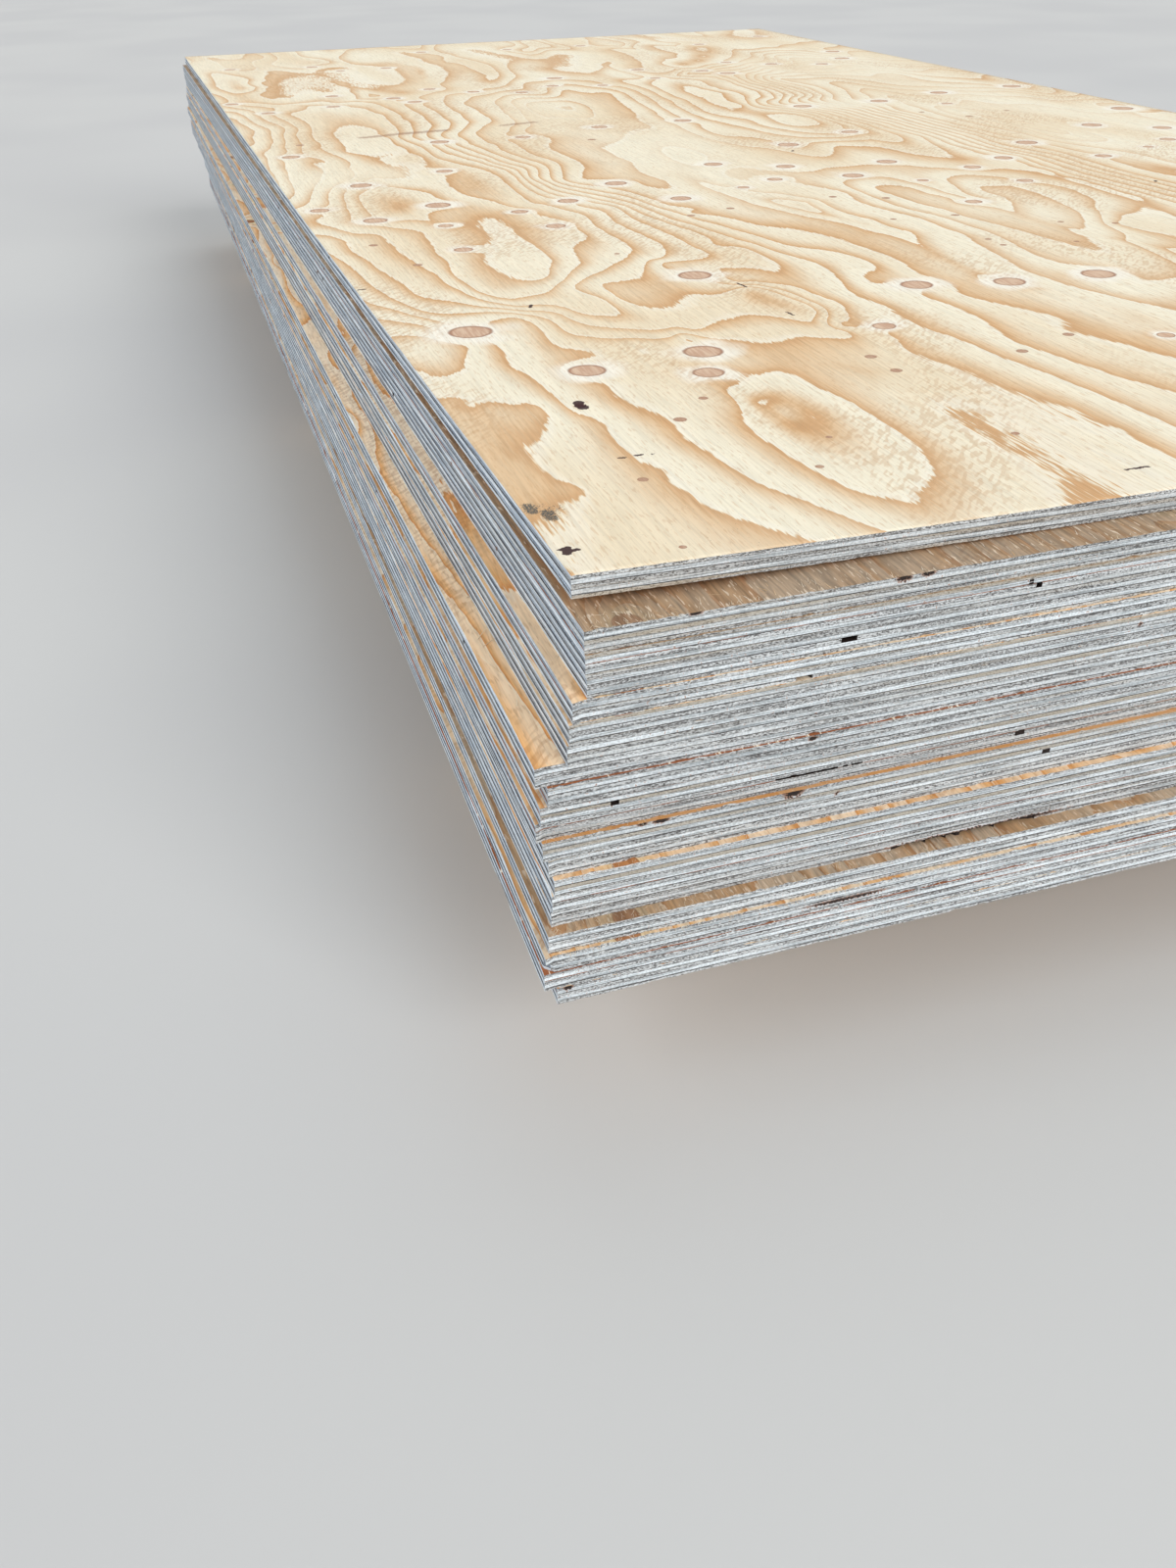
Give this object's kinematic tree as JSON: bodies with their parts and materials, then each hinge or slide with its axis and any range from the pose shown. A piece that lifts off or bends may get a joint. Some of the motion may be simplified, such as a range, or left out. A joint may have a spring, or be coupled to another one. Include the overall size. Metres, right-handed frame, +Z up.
{
  "type": "stack of plywood sheets",
  "caption": "Loose stack of five-ply softwood plywood sheets lying flat on timber bearers, edges slightly uneven, with fork gaps underneath.",
  "frame": {"origin": "on the floor, below the middle of the stack, at the middle bearer's underside", "axes": "+X along the sheets' short side, +Y along their long side and the face grain, +Z up"},
  "size_m": [1.2482, 2.483, 0.341],
  "materials": {
    "plywood": "sanded, uncoated softwood veneer with sawn, weathered edges",
    "bearer_timber": "rough sawn softwood"
  },
  "bodies": {
    "root": {"sheet_01": "plywood", "sheet_02": "plywood", "sheet_03": "plywood", "sheet_04": "plywood", "sheet_05": "plywood", "sheet_06": "plywood", "sheet_07": "plywood", "sheet_08": "plywood", "sheet_09": "plywood", "sheet_10": "plywood", "sheet_11": "plywood", "sheet_12": "plywood", "sheet_13": "plywood", "sheet_14": "plywood", "sheet_15": "plywood", "sheet_16": "plywood", "sheet_17": "plywood", "sheet_18": "plywood", "sheet_19": "plywood", "sheet_20": "plywood", "bearer_1": "bearer_timber", "bearer_2": "bearer_timber", "bearer_3": "bearer_timber"}
  },
  "joints": []
}
